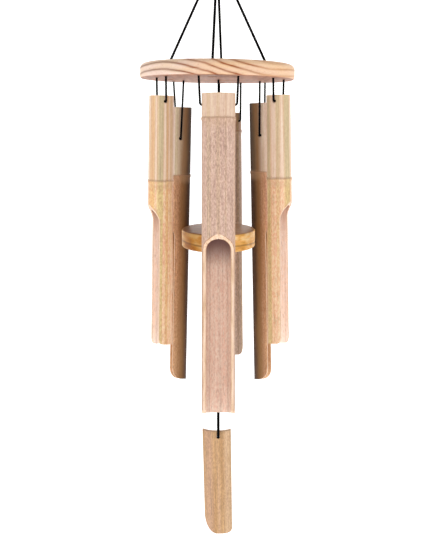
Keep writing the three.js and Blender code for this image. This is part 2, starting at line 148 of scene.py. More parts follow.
def place_lights():
    middle = (0, 0, -0.28)
    area_light("left_softbox", (-1.25, -0.50, 0.10), middle, (0.8, 1.2), 5.0, (1, 0.985, 0.96))
    area_light("right_softbox", (1.25, -0.50, 0.10), middle, (0.8, 1.2), 4.8, (1, 0.985, 0.96))
    area_light("front_fill", (0.05, -1.6, -0.15), middle, (1.6, 1.4), 7.0)
    world = bpy.data.worlds.new("studio")
    world.use_nodes = True
    background = world.node_tree.nodes["Background"]
    background.inputs["Color"].default_value = (1, 1, 1, 1)
    background.inputs["Strength"].default_value = 0.42
    bpy.context.scene.world = world
    bpy.context.scene.view_settings.view_transform = "Standard"


def make_stage():
    """A pale floor that curves up into a backdrop."""
    floor, wall, curve = -0.62, 1.5, 0.6
    profile = [(-4.0, floor), (wall - curve, floor)]
    for i in range(1, 13):
        angle = math.pi / 2 * i / 12
        profile.append((wall - curve + curve * math.sin(angle), floor + curve * (1 - math.cos(angle))))
    profile.append((wall, 4.0))
    mesh = bpy.data.meshes.new("backdrop")
    points = [(x, y, z) for y, z in profile for x in (-4.0, 4.0)]
    faces = [(2 * i, 2 * i + 1, 2 * i + 3, 2 * i + 2) for i in range(len(profile) - 1)]
    mesh.from_pydata(points, [], faces)
    mesh.shade_smooth()
    backdrop = bpy.data.objects.new("backdrop", mesh)
    bpy.context.collection.objects.link(backdrop)
    material = bpy.data.materials.new("backdrop_white")
    material.use_nodes = True
    shader = material.node_tree.nodes["Principled BSDF"]
    shader.inputs["Base Color"].default_value = (0.95, 0.95, 0.95, 1)
    shader.inputs["Roughness"].default_value = 0.9
    shader.inputs["Emission Color"].default_value = (1, 1, 1, 1)
    shader.inputs["Emission Strength"].default_value = 0.6
    mesh.materials.append(material)


# ---------- materials ----------


class Nodes:
    """Short names for building a node tree around one Principled shader."""

    def __init__(self, name, roughness=0.5, coat=0.0, bump=0.0, bump_distance=0.0001, frame=None):
        self.material = bpy.data.materials.new(name)
        self.material.use_nodes = True
        self.tree = self.material.node_tree
        self.shader = self.tree.nodes["Principled BSDF"]
        self.shader.inputs["Roughness"].default_value = roughness
        self.shader.inputs["Coat Weight"].default_value = coat
        self.shader.inputs["Coat Roughness"].default_value = 0.25
        self.shader.inputs["Specular IOR Level"].default_value = 0.3
        self.place = self.tree.nodes.new("ShaderNodeTexCoord").outputs["Object"]
        if frame is not None:
            self.place = self.within(frame)
        self.bump_strength, self.bump_distance = bump, bump_distance

    def link(self, source, target):
        if isinstance(source, bpy.types.NodeSocket):
            self.tree.links.new(source, target)
        elif isinstance(source, tuple) and len(source) == 3 and target.type == "RGBA":
            target.default_value = (*source, 1)
        else:
            target.default_value = source

    def within(self, frame):
        """The same point seen from a piece's own frame."""
        node = self.tree.nodes.new("ShaderNodeMapping")
        node.vector_type = "TEXTURE"
        node.inputs["Location"].default_value = frame.to_translation()
        node.inputs["Rotation"].default_value = frame.to_euler()
        self.link(self.place, node.inputs["Vector"])
        return node.outputs[0]

    def math(self, operation, a, b=0.0):
        node = self.tree.nodes.new("ShaderNodeMath")
        node.operation = operation
        for value, socket in zip((a, b), node.inputs):
            self.link(value, socket)
        return node.outputs[0]

    def axis(self, letter):
        node = self.tree.nodes.new("ShaderNodeSeparateXYZ")
        self.link(self.place, node.inputs[0])
        return node.outputs[letter]

    def stretched(self, x, y, z, at=(0, 0, 0)):
        node = self.tree.nodes.new("ShaderNodeMapping")
        self.link(self.place, node.inputs["Vector"])
        node.inputs["Location"].default_value = at
        node.inputs["Scale"].default_value = (x, y, z)
        return node.outputs[0]

    def noise(self, scale, detail=3.0, roughness=0.5, at=(0, 0, 0)):
        """Noise over the object, scale being the cells per metre along x, y and z, moved by some cells."""
        node = self.tree.nodes.new("ShaderNodeTexNoise")
        self.link(self.stretched(*scale, at), node.inputs["Vector"])
        node.inputs["Scale"].default_value = 1
        node.inputs["Detail"].default_value = detail
        node.inputs["Roughness"].default_value = roughness
        return node.outputs["Fac"]

    def ramp(self, source, *stops):
        node = self.tree.nodes.new("ShaderNodeValToRGB")
        self.link(source, node.inputs[0])
        elements = node.color_ramp.elements
        while len(elements) < len(stops):
            elements.new(0.5)
        for element, (at, colour) in zip(elements, stops):
            element.position = at
            grey = not isinstance(colour, tuple)
            element.color = (colour, colour, colour, 1) if grey else (*colour, 1)
        return node.outputs["Color"]

    def mix(self, share, a, b, blend="MIX"):
        node = self.tree.nodes.new("ShaderNodeMix")
        node.data_type = "RGBA"
        node.blend_type = blend
        node.clamp_result = True
        self.link(share, node.inputs["Factor"])
        self.link(a, node.inputs["A"])
        self.link(b, node.inputs["B"])
        return node.outputs["Result"]

    def range(self, source, low, high, to_low=0.0, to_high=1.0):
        node = self.tree.nodes.new("ShaderNodeMapRange")
        node.interpolation_type = "SMOOTHSTEP"
        self.link(source, node.inputs["Value"])
        for socket, value in zip(("From Min", "From Max", "To Min", "To Max"), (low, high, to_low, to_high)):
            node.inputs[socket].default_value = value
        return node.outputs["Result"]

    def wander(self, scale, reach):
        """A slow drift to either side of nought, reach being its whole width."""
        return self.math("MULTIPLY", self.math("SUBTRACT", self.noise(scale, 2.0), 0.5), reach)

    def off(self, value, at):
        """How far a value is from a height or place."""
        return self.math("ABSOLUTE", self.math("SUBTRACT", value, at))

    def grit(self):
        """Fine uneven grain, a little longer than wide, as a grey to overlay."""
        grain = self.noise((950, 950, 420), detail=3.0, roughness=0.7)
        return self.ramp(grain, (0.36, 0.22), (0.50, 0.50), (0.64, 0.76))

    def finish(self, colour, height=None, roughness=None):
        self.link(colour, self.shader.inputs["Base Color"])
        if roughness is not None:
            self.link(roughness, self.shader.inputs["Roughness"])
        if height is not None:
            node = self.tree.nodes.new("ShaderNodeBump")
            node.inputs["Strength"].default_value = self.bump_strength
            node.inputs["Distance"].default_value = self.bump_distance
            self.link(height, node.inputs["Height"])
            self.link(node.outputs["Normal"], self.shader.inputs["Normal"])
        return self.material


# Skin colours of a tube above and below its node: main, pink, green-tan and orange streaks
SKINS = {
    "front": ((0.64, 0.44, 0.31), (0.67, 0.475, 0.355), (0.61, 0.42, 0.28), (0.69, 0.475, 0.31)),
    "front_low": ((0.53, 0.35, 0.25), (0.57, 0.38, 0.30), (0.51, 0.35, 0.25), (0.58, 0.37, 0.24)),
    "side": ((0.66, 0.45, 0.28), (0.79, 0.59, 0.45), (0.54, 0.42, 0.25), (0.67, 0.40, 0.22)),
    "side_low": ((0.74, 0.465, 0.245), (0.82, 0.52, 0.33), (0.62, 0.44, 0.20), (0.75, 0.43, 0.19)),
    "rear": ((0.66, 0.52, 0.40), (0.71, 0.56, 0.46), (0.59, 0.49, 0.34), (0.63, 0.47, 0.32)),
    "rear_low": ((0.56, 0.295, 0.175), (0.60, 0.33, 0.215), (0.50, 0.28, 0.155), (0.62, 0.31, 0.17)),
    "back": ((0.43, 0.27, 0.175), (0.475, 0.30, 0.21), (0.41, 0.30, 0.125), (0.475, 0.30, 0.16)),
    "back_low": ((0.44, 0.30, 0.21), (0.48, 0.335, 0.26), (0.41, 0.31, 0.155), (0.48, 0.32, 0.195)),
}


def streaked(n, skin, seed):
    """Soft lengthwise bands in a skin's colours."""
    main, pink, green, orange = SKINS[skin]
    broad = n.noise((150, 150, 1.0), detail=1.0, at=(seed, 0, 0))
    return n.ramp(broad, (0.36, green), (0.43, main), (0.48, pink), (0.55, pink), (0.60, main),
                  (0.66, orange))


def bamboo_skin(name, skin, tube, shaded):
    """Outer bamboo: lengthwise bands, fibres, specks, a scar at the node and painted shade on one side."""
    n = Nodes(name, roughness=0.55, coat=0.04, bump=0.5, bump_distance=0.00012, frame=tube_frame(tube))
    node = (tube["node"] - tube["hole"]) * MM
    from_node = n.math("SUBTRACT", n.math("ADD", n.axis("Z"), n.wander((90, 90, 40), 0.0016)), node)
    above = n.range(from_node, -0.0004, 0.0006)
    colour = n.mix(above, streaked(n, skin + "_low", tube["x"]), streaked(n, skin, tube["x"]))
    fibre = n.noise((1700, 1700, 22), detail=4.0, roughness=0.6)
    colour = n.mix(0.55, colour, n.ramp(fibre, (0.34, 0.32), (0.62, 0.68)), "OVERLAY")
    colour = n.mix(n.range(above, 0, 1, 0.5, 0.16), colour, n.grit(), "OVERLAY")
    mottle = n.noise((420, 420, 110), detail=3.0, roughness=0.65)
    lightly = n.math("SUBTRACT", 1.0, n.math("MULTIPLY", above, 0.7))
    colour = n.mix(n.math("MULTIPLY", n.range(mottle, 0.50, 0.72, 0, 0.5), lightly), colour,
                   tuple(0.66 * c for c in SKINS[skin + "_low"][0]))
    specks = n.noise((2400, 2400, 500), detail=1.0)
    colour = n.mix(n.range(specks, 0.70, 0.80, 0, 0.4), colour, (0.30, 0.17, 0.10))
    # Painted shade: one side of the tube, set by shaded, darkens and deepens to near black towards its edge.
    if shaded:
        around, edge, start, deep, depth = shaded
        turn = math.radians(around - tube["facing"])
        side = n.math("ADD", n.math("MULTIPLY", n.axis("X"), math.sin(turn)),
                      n.math("MULTIPLY", n.axis("Y"), -math.cos(turn)))
        reach = tube["foot_r"] * MM
        side = n.math("ADD", side, n.wander((60, 60, 16), 0.004))
        n.shader.inputs["Specular IOR Level"].default_value = 0.05
        shade = n.mix(n.range(side, deep * reach, 0.96 * reach), (0.22, 0.11, 0.036), (0.022, 0.009, 0.004))
        colour = n.mix(n.range(side, edge * reach, start * reach, 0, depth), colour, shade)
    scar = n.range(n.off(from_node, 0), 0.0002, 0.0009, 0.45, 0)
    colour = n.mix(scar, colour, (0.35, 0.20, 0.12))
    halo = n.range(n.off(from_node, -0.0026), 0.001, 0.006, 0.28, 0)
    colour = n.mix(halo, colour, (0.52, 0.33, 0.20))
    grain = n.math("ADD", n.math("MULTIPLY", fibre, 0.8), n.math("MULTIPLY", mottle, 0.5))
    return n.finish(colour, grain, n.range(mottle, 0.3, 0.7, 0.42, 0.6))


def bamboo_bore(name, tube, pale, dark):
    """Inside of a tube: matt pith, with painted shade darkening it up inside the arch, so it is paler towards
    the foot.
    """
    n = Nodes(name, roughness=0.7, bump=0.5, bump_distance=0.00015, frame=tube_frame(tube))
    broad = n.noise((260, 260, 3), detail=2.0)
    darker, lighter = (tuple(share * c for c in pale) for share in (0.80, 1.12))
    colour = n.ramp(broad, (0.34, darker), (0.5, pale), (0.68, lighter))
    fibre = n.noise((1400, 1400, 30), detail=4.0, roughness=0.6)
    colour = n.mix(0.4, colour, n.ramp(fibre, (0.30, 0.34), (0.62, 0.66)), "OVERLAY")
    colour = n.mix(0.4, colour, n.grit(), "OVERLAY")
    flecks = n.noise((900, 900, 240), detail=2.0)
    colour = n.mix(n.range(flecks, 0.56, 0.72, 0, 0.45), colour, tuple(0.55 * c for c in pale))
    # Painted shade: the bore darkens up inside the arch, where the closed tube shades it.
    arch = (tube["scoop"] - tube["hole"]) * MM
    deep = n.range(n.axis("Z"), arch - 0.032, arch - 0.008)
    colour = n.mix(deep, colour, dark)
    return n.finish(colour, n.math("ADD", fibre, flecks))


def bamboo_cut(name, tint):
    """Sanded cut faces: pale, warm end fibres, times a tint."""
    n = Nodes(name, roughness=0.55, bump=0.4, bump_distance=0.0001)
    streak = n.noise((700, 700, 60), detail=3.0)
    colour = n.ramp(streak, (0.34, (0.63, 0.41, 0.26)), (0.52, (0.80, 0.57, 0.40)),
                    (0.70, (0.87, 0.67, 0.54)))
    pores = n.noise((2600, 2600, 900), detail=1.0)
    colour = n.mix(n.range(pores, 0.62, 0.74, 0, 0.5), colour, (0.40, 0.22, 0.11))
    return n.finish(n.mix(1.0, colour, tint, "MULTIPLY"), n.math("ADD", streak, pores))


def pine(frame):
    """Pine board: growth lines that arch over at the left, slope down across the middle and level off."""
    n = Nodes("pine_board", roughness=0.55, coat=0.05, bump=0.35, bump_distance=0.0001, frame=frame)
    x, z = n.axis("X"), n.axis("Z")
    swing = n.math("MULTIPLY", n.math("SINE", n.math("MULTIPLY", x, GRAIN["wave"])), GRAIN["rise"])
    warp = n.wander((34, 14, 90), GRAIN["warp"])
    level = n.math("ADD", n.math("ADD", z, swing), n.math("ADD", warp, GRAIN["offset"]))
    ring = n.math("FRACT", n.math("DIVIDE", level, GRAIN["spacing"]))
    line = n.ramp(ring, (0.0, 1.0), (0.10, 1.0), (0.20, 0.35), (0.36, 0.10), (0.62, 0.0), (0.80, 0.1),
                  (0.90, 0.6), (1.0, 1.0))
    middle = n.range(x, -0.038, -0.006)
    right = n.range(x, 0.016, 0.040)
    pinkish, yellowish = (0.80, 0.60, 0.50), (0.80, 0.58, 0.40)
    early = n.ramp(n.noise((30, 30, 190), 2.0), (0.38, pinkish), (0.62, yellowish))
    early = n.mix(n.math("MULTIPLY", middle, 0.5), early, (0.80, 0.48, 0.24))
    late = n.mix(middle, (0.26, 0.13, 0.08), (0.30, 0.07, 0.012))
    late = n.mix(right, late, (0.48, 0.21, 0.08))
    uneven = n.noise((24, 14, 320), detail=2.0)
    share = n.math("MULTIPLY", line, n.range(uneven, 0.3, 0.62, 0.62, 1.0))
    colour = n.mix(n.math("MULTIPLY", share, n.range(right, 0, 1, 1.0, 0.7)), early, late)
    fine = n.noise((500, 160, 1600), detail=4.0, roughness=0.6)
    colour = n.mix(0.35, colour, n.ramp(fine, (0.3, 0.36), (0.65, 0.64)), "OVERLAY")
    specks = n.noise((900, 600, 1200), detail=1.0)
    colour = n.mix(n.range(specks, 0.64, 0.72, 0, 0.3), colour, (0.45, 0.22, 0.10))
    # Painted shade: the underside and its lower rounded edge are darkened to a brown face.
    under = n.range(z, -0.0050, -0.0059)
    face = n.ramp(n.noise((260, 26, 40), 3.0), (0.36, (0.28, 0.118, 0.07)), (0.62, (0.39, 0.18, 0.108)))
    colour = n.mix(n.math("MULTIPLY", under, 0.95), colour, face)
    return n.finish(colour, n.math("ADD", fine, n.math("MULTIPLY", line, -0.6)))


def clapper_wood(frame):
    """Golden rim with a dark growth line, a darker top, and painted shade that darkens rim and top towards
    the left.
    """
    n = Nodes("clapper_wood", roughness=0.5, coat=0.15, bump=0.4, bump_distance=0.00012, frame=frame)
    x, z = n.axis("X"), n.axis("Z")
    level = n.math("ADD", n.math("ADD", z, n.wander((40, 40, 30), 0.004)), n.math("MULTIPLY", x, 0.02))
    patches = n.noise((70, 70, 160), detail=3.0)
    colour = n.ramp(patches, (0.36, (0.57, 0.26, 0.04)), (0.5, (0.83, 0.46, 0.11)),
                    (0.62, (0.93, 0.68, 0.33)))
    dark = n.range(n.off(level, -0.0022), 0.0002, 0.0011, 0.75, 0)
    colour = n.mix(dark, colour, (0.33, 0.17, 0.04))
    growth = n.math("FRACT", n.math("DIVIDE", level, 0.0031))
    thin = n.ramp(growth, (0.0, 0.7), (0.2, 0.0), (0.85, 0.0), (1.0, 0.7))
    colour = n.mix(n.math("MULTIPLY", thin, 0.28), colour, (0.42, 0.23, 0.06))
    fine = n.noise((260, 900, 1500), detail=4.0, roughness=0.6)
    colour = n.mix(0.35, colour, n.ramp(fine, (0.3, 0.34), (0.65, 0.64)), "OVERLAY")
    # The top face is darker than the rim.
    face = n.ramp(n.noise((60, 420, 60), 3.0), (0.35, (0.27, 0.13, 0.05)), (0.6, (0.40, 0.215, 0.085)))
    colour = n.mix(n.range(z, 0.0064, 0.0071), colour, face)
    # Painted shade: the rim and top darken towards the left.
    tint = n.mix(n.range(x, -0.026, 0.012), (0.62, 0.50, 0.30), (1.0, 0.98, 1.0))
    colour = n.mix(1.0, colour, tint, "MULTIPLY")
    return n.finish(colour, fine)


def sail_bamboo(frame):
    """Tan slat with lengthwise bands, a pinkish left half and browned edges."""
    n = Nodes("sail_bamboo", roughness=0.5, coat=0.12, bump=0.5, bump_distance=0.00012, frame=frame)
    x, z = n.axis("X"), n.axis("Z")
    broad = n.noise((190, 190, 4), detail=2.0)
    colour = n.ramp(broad, (0.34, (0.42, 0.23, 0.10)), (0.5, (0.50, 0.295, 0.14)), (0.68, (0.53, 0.32, 0.19)))
    pink = n.range(n.off(x, -0.0085), 0.001, 0.005, 0.55, 0)
    colour = n.mix(pink, colour, (0.50, 0.30, 0.21))
    colour = n.mix(n.range(x, 0.002, 0.008, 0, 0.5), colour, (0.65, 0.45, 0.29))
    fibre = n.noise((1600, 1600, 26), detail=4.0, roughness=0.6)
    colour = n.mix(0.5, colour, n.ramp(fibre, (0.32, 0.32), (0.64, 0.70)), "OVERLAY")
    colour = n.mix(0.35, colour, n.grit(), "OVERLAY")
    mottle = n.noise((260, 260, 120), detail=3.0)
    colour = n.mix(n.range(mottle, 0.52, 0.7, 0, 0.3), colour, (0.44, 0.26, 0.12))
    edge = n.range(n.off(x, -0.0013), 0.0108, 0.0126, 0, 0.55)
    colour = n.mix(edge, colour, (0.34, 0.21, 0.08))
    return n.finish(colour, n.math("ADD", fibre, mottle))


def black_cord():
    n = Nodes("black_cord", roughness=0.9, bump=0.5, bump_distance=0.00008)
    fuzz = n.noise((5200, 5200, 2600), detail=3.0)
    colour = n.ramp(fuzz, (0.3, (0.001, 0.001, 0.0015)), (0.7, (0.008, 0.007, 0.008)))
    n.shader.inputs["Specular IOR Level"].default_value = 0.0
    return n.finish(colour, fuzz)


def ring_steel():
    n = Nodes("ring_steel", roughness=0.25, bump=0.25, bump_distance=0.00004)
    n.shader.inputs["Metallic"].default_value = 1.0
    scratch = n.noise((2400, 900, 2400), detail=4.0)
    wear = n.noise((300, 300, 300), detail=3.0)
    colour = n.ramp(wear, (0.35, (0.50, 0.50, 0.52)), (0.6, (0.68, 0.69, 0.71)))
    return n.finish(colour, scratch, n.range(scratch, 0.3, 0.7, 0.18, 0.38))


# ---------- mesh helpers ----------


def link_mesh(name, points, faces, materials, face_slots=None):
    """A mesh object from millimetre points, welded where points meet."""
    mesh = bpy.data.meshes.new(name)
    mesh.from_pydata([Vector(p) * MM for p in points], [], faces)
    for material in materials:
        mesh.materials.append(material)
    if face_slots:
        mesh.polygons.foreach_set("material_index", face_slots)
    bm = bmesh.new()
    bm.from_mesh(mesh)
    bmesh.ops.remove_doubles(bm, verts=bm.verts, dist=0.002 * MM)
    bmesh.ops.dissolve_degenerate(bm, edges=bm.edges, dist=0.001 * MM)
    bmesh.ops.recalc_face_normals(bm, faces=bm.faces)
    bm.to_mesh(mesh)
    bm.free()
    piece = bpy.data.objects.new(name, mesh)
    bpy.context.collection.objects.link(piece)
    return piece


def apply_modifiers(piece):
    graph = bpy.context.evaluated_depsgraph_get()
    mesh = bpy.data.meshes.new_from_object(piece.evaluated_get(graph))
    piece.modifiers.clear()
    old = piece.data
    piece.data = mesh
    mesh.name = old.name
    bpy.data.meshes.remove(old)


def cut(piece, cutter):
    """Takes the cutter's solid out of the piece and removes the cutter."""
    boolean = piece.modifiers.new("cut", "BOOLEAN")
    boolean.object = cutter
    boolean.operation = "DIFFERENCE"
    boolean.solver = "EXACT"
    apply_modifiers(piece)
    mesh = cutter.data
    bpy.data.objects.remove(cutter)
    bpy.data.meshes.remove(mesh)


def soften(piece, width, angle):
    """Rounds the sharp edges by a width in millimetres and shades the rest smooth."""
    bevel = piece.modifiers.new("soften", "BEVEL")
    bevel.width = width * MM
    bevel.segments = 2
    bevel.limit_method = "ANGLE"
    bevel.angle_limit = math.radians(angle)
    bevel.use_clamp_overlap = True
    apply_modifiers(piece)
    shade(piece)


def settle(piece, frame):
    """Puts the mesh itself in its place, so that its own frame is the model's."""
    piece.data.transform(frame)


def in_metres(frame):
    return Matrix.Translation(frame.to_translation() * MM) @ frame.to_3x3().to_4x4()


def shade(piece, angle=40):
    piece.data.shade_smooth()
    piece.data.set_sharp_from_angle(angle=math.radians(angle))


def arc(cx, cz, radius, start, end, steps):
    """Points of an arc about (cx, cz), from start to end in degrees."""
    angles = [math.radians(start + (end - start) * i / steps) for i in range(steps + 1)]
    return [(cx + radius * math.cos(a), cz + radius * math.sin(a)) for a in angles]


def band(a, b, sides):
    """Faces between two closed rings of points that start at a and at b."""
    return [(a + k, a + (k + 1) % sides, b + (k + 1) % sides, b + k) for k in range(sides)]


def lathe(name, profile, sides, materials):
    """A solid turned about Z from (radius, height) points that start and end on the axis."""
    points = []
    faces = []
    for i in range(sides):
        c, s = math.cos(TAU * i / sides), math.sin(TAU * i / sides)
        points += [(r * c, r * s, z) for r, z in profile]
    rows = len(profile)
    for i in range(sides):
        a, b = i * rows, (i + 1) % sides * rows
        faces += [(a + j, b + j, b + j + 1, a + j + 1) for j in range(rows - 1)]
    return link_mesh(name, points, faces, materials)


def cylinders(name, rods, sides, material):
    """One mesh of rods, each a start, an end and a radius in millimetres."""
    points = []
    faces = []
    for start, end, radius in rods:
        start, end = Vector(start), Vector(end)
        turn = (end - start).to_track_quat("Z", "X").to_matrix()
        base = len(points)
        for at in (start, end):
            ring = [Vector((math.cos(TAU * i / sides), math.sin(TAU * i / sides), 0)) for i in range(sides)]
            points += [at + turn @ (p * radius) for p in ring]
        faces += band(base, base + sides, sides)
        faces.append(tuple(base + i for i in reversed(range(sides))))
        faces.append(tuple(base + sides + i for i in range(sides)))
    return link_mesh(name, points, faces, [material])


# ---------- cords ----------


def resample(points, step):
    """Evenly spaced points along a polyline, ends kept."""
    lengths = [(b - a).length for a, b in zip(points, points[1:])]
    total = sum(lengths)
    count = max(2, round(total / step))
    result = [points[0].copy()]
    walked, i = 0.0, 0
    for k in range(1, count):
        target = total * k / count
        while walked + lengths[i] < target:
            walked += lengths[i]
            i += 1
        result.append(points[i].lerp(points[i + 1], (target - walked) / lengths[i]))
    result.append(points[-1].copy())
    return result


def twisted(name, route, diameter, material, closed=False, step=0.42, sides=12, strands=3, pitch=3.4):
    """A laid cord swept along a route in millimetres: a round tube whose strands wind round it."""
    points = resample(route, step)
    last = len(points) - 1
    tangents = []
    for i in range(last + 1):
        before = points[(i - 1) % last] if closed else points[max(i - 1, 0)]
        after = points[(i + 1) % last] if closed else points[min(i + 1, last)]
        tangents.append((after - before).normalized())
    side = tangents[0].orthogonal().normalized()
    vertices, faces = [], []
    walked = 0.0
    for i, (at, tangent) in enumerate(zip(points, tangents)):
        if i:
            walked += (at - points[i - 1]).length
            side = (side - tangent * side.dot(tangent)).normalized()
        other = tangent.cross(side)
        lay = walked / (pitch * diameter) * TAU
        for k in range(sides):
            angle = TAU * k / sides
            lobe = abs(math.cos(strands / 2 * (angle + lay)))
            radius = diameter / 2 * (0.90 + 0.20 * lobe)
            vertices.append(at + (side * math.cos(angle) + other * math.sin(angle)) * radius)
    for i in range(last):
        faces += band(i * sides, (i + 1) * sides, sides)
    faces += [tuple(reversed(range(sides))), tuple(last * sides + k for k in range(sides))]
    piece = link_mesh(name, vertices, faces, [material])
    piece.data.shade_smooth()
    return piece


def declare_cord(piece, body, route):
    """Lets a held cord ride on its body; its route is resampled in metres but not used further."""
    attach(piece, body)
    path = [p * MM for p in resample(route, 1.0)]


def corner(start, at, end, radius, steps=6):
    """Points that round the corner at `at` between start and end."""
    arriving = (start - at).normalized()
    leaving = (end - at).normalized()
    half = arriving.angle(leaving) / 2
    centre = at + (arriving + leaving).normalized() * (radius / math.sin(half))
    first = at + arriving * (radius / math.tan(half))
    last = at + leaving * (radius / math.tan(half))
    return [centre + (first.lerp(last, i / steps) - centre).normalized() * radius for i in range(steps + 1)]


def tied_knot(name, centre, radius, cord, body, material, axis="Z"):
    """An overhand knot drawn tight: one cord wound through itself, inside a ball of that radius."""
    cord = min(cord, 0.9 * radius)
    swing = (radius - cord / 2) / 3.0
    route = []
    for i in range(61):
        t = TAU * i / 60
        a = (math.sin(t) + 2 * math.sin(2 * t)) * swing
        b = (math.cos(t) - 2 * math.cos(2 * t)) * swing
        c = -math.sin(3 * t) * cord * 0.52
        place = {"Z": (a, b, c), "Y": (a, c, b), "X": (c, a, b)}[axis]
        route.append(Vector(place) + Vector(centre))
    piece = twisted(name, route, cord, material, closed=True, step=0.35)
    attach(piece, body)
    return piece


# ---------- ring and gathering knot ----------

ring_middle = -(RING["radius"] - RING["wire"] / 2)
ring_foot = ring_middle - RING["radius"]


def make_ring(material):
    """Wire ring, butt-welded at one side with a low bead."""
    sides, sections = 16, 128
    points, faces = [], []
    for i in range(sections):
        around = TAU * i / sections
        bead = 0.16 * math.exp(-((math.degrees(around) - 35) / 4) ** 2)
        wire = RING["wire"] / 2 + bead
        for k in range(sides):
            a = TAU * k / sides
            r = RING["radius"] + wire * math.cos(a)
            points.append((r * math.cos(around), wire * math.sin(a), ring_middle + r * math.sin(around)))
    for i in range(sections):
        faces += band(i * sides, (i + 1) % sections * sides, sides)
    ring = link_mesh("hanging_ring_wire", points, faces, [material])
    ring.data.shade_smooth()
    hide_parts("hanging_ring")
    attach(ring, "hanging_ring")


def make_gathering_knot(material):
    """Two cords side by side over the ring's wire, drawn down into one wrapped knot."""
    reach = RING["wire"] / 2 + GAP + SUSPENSION["cord"] / 2
    apex = SUSPENSION["apex"]
    for i, sign in enumerate((-1, 1)):
        x = sign * (SUSPENSION["cord"] / 2 + 0.1)
        over = [Vector((x, y, z)) for y, z in arc(0, ring_foot, reach, 0, 180, 16)]
        route = [Vector((x, 1.0, apex)), *over, Vector((x, -1.0, apex))]
        eye = twisted(f"gathering_eye_{i + 1}", route, SUSPENSION["cord"], material)
        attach(eye, "gathering_knot")
    wraps = []
    for i in range(WRAP["turns"] * WRAP["steps"] + 1):
        t = i / WRAP["steps"] * TAU
        share = i / (WRAP["turns"] * WRAP["steps"])
        radius = WRAP["radius"] + WRAP["bulge"] * math.sin(math.pi * share)
        height = apex + WRAP["top"] - WRAP["height"] * share
        wraps.append(Vector((radius * math.cos(t), radius * math.sin(t), height)))
    wrap = twisted("gathering_wrap", wraps, WRAP["cord"], material, step=0.35)
    core = tied_knot("gathering_core", (0, 0, apex), 2.8, 1.9, "gathering_knot", material)
    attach(wrap, "gathering_knot")
    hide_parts("gathering_knot")


# ---------- board and suspension cords ----------

board_frame = Matrix.Translation((0, 0, BOARD["middle"])) @ Matrix.Rotation(
    math.radians(BOARD["tilt"]), 4, "Y")
board_half = BOARD["thickness"] / 2


def on_board(x, y, z):
    return board_frame @ Vector((x, y, z))


def feet():
    angles = [math.radians(quarter + SUSPENSION["turn"] - 90) for quarter in (0, 90, 180, 270)]
    return [(SUSPENSION["feet"] * math.cos(a), SUSPENSION["feet"] * math.sin(a)) for a in angles]


def pair_holes(tube):
    angle = math.radians(tube["facing"] + tube["turn"])
    aside = Vector((math.cos(angle), math.sin(angle))) * tube["pair"]
    middle = Vector((tube["x"], tube["y"]))
    return [middle - aside, middle + aside]


def make_board():
    wood = pine(in_metres(board_frame))
    half, reach, edge, foot_edge = board_half, BOARD["radius"], BOARD["edge"], BOARD["foot_edge"]
    profile = [(0, -half), (reach / 2, -half),
               *arc(reach - foot_edge, foot_edge - half, foot_edge, -90, 0, 9),
               *arc(reach - edge, half - edge, edge, 0, 90, 9), (reach / 2, half), (0, half)]
    board = lathe("pine_board", profile, 160, [wood])
    through = [((x, y, -half - 1), (x, y, half + 1), SUSPENSION["hole"] / 2) for x, y in feet()]
    for tube in TUBES.values():
        through += [((*hole, -half - 1), (*hole, half + 1), STRAND["hole"] / 2) for hole in pair_holes(tube)]
    through.append(((CLAPPER["x"], 0, -half - 1), (CLAPPER["x"], 0, half + 1), CLAPPER["hole"] / 2))
    cut(board, cylinders("board_holes", through, 20, wood))
    pockets = [((x, y, -half - 1), (x, y, SUSPENSION["pocket_depth"] - half), SUSPENSION["pocket"] / 2)
               for x, y in feet()]
    pockets.append(((CLAPPER["x"], 0, -half - 1), (CLAPPER["x"], 0, CLAPPER["pocket_depth"] - half),
                    CLAPPER["pocket"] / 2))
    floor = half - STRAND["pocket_depth"]
    pockets += [((tube["x"], tube["y"], floor), (tube["x"], tube["y"], half + 1), STRAND["pocket"] / 2)
                for tube in TUBES.values()]
    cut(board, cylinders("board_pockets", pockets, 32, wood))
    cut(board, grooves(wood))
    soften(board, 0.25, angle=50)
    settle(board, in_metres(board_frame))
    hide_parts("board")
    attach(board, "board")


def grooves(wood):
    """Bars that cut the groove between each pair of tube holes in the board's top."""
    points, faces = [], []
    for tube in TUBES.values():
        start, end = pair_holes(tube)
        aside = (end - start).orthogonal().normalized() * STRAND["hole"] / 2
        floor, over = board_half - STRAND["groove"], board_half + 1
        base = len(points)
        for z in (floor, over):
            points += [(*p, z) for p in (start - aside, end - aside, end + aside, start + aside)]
        faces += [tuple(base + i for i in face) for face in
                  ((3, 2, 1, 0), (4, 5, 6, 7), (0, 1, 5, 4), (1, 2, 6, 5), (2, 3, 7, 6), (3, 0, 4, 7))]
    return link_mesh("board_grooves", points, faces, [wood])


def make_suspension(material):
    apex = Vector((0, 0, SUSPENSION["apex"]))
    for i, (x, y) in enumerate(feet()):
        name = f"suspension_cord_{i + 1}"
        mouth = on_board(x, y, board_half + 1.2)
        end = on_board(x, y, -board_half + SUSPENSION["pocket_depth"] / 2)
        start = apex + (mouth - apex).normalized() * 3.0
        route = [start, start.lerp(mouth, 0.5), *corner(start, mouth, end, 3), end]
        knot = tied_knot(f"{name}_knot", end, SUSPENSION["end_knot"], 1.8, "board", material)
        cord = twisted(f"{name}_line", route, SUSPENSION["cord"], material)
        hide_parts(name)
        declare_cord(cord, "board", route)


# ---------- tubes ----------


def scoop_depth(tube, z):
    """Distance of the cut from the tube's axis at a height, or None above the scoop."""
    start = tube["scoop"] - tube["hole"]
    if z > start:
        return None
    share = min(1, (start - z) / SCOOP["run"])
    surface = outer_base(tube, start)
    plane = SCOOP["depth"] * tube["foot_r"]
    ease = share ** 2 * (3 - 2 * share)
    entry = SCOOP["entry"] * SCOOP["run"] * share * (1 - share) ** 2
    return surface - (surface - plane) * ease - entry


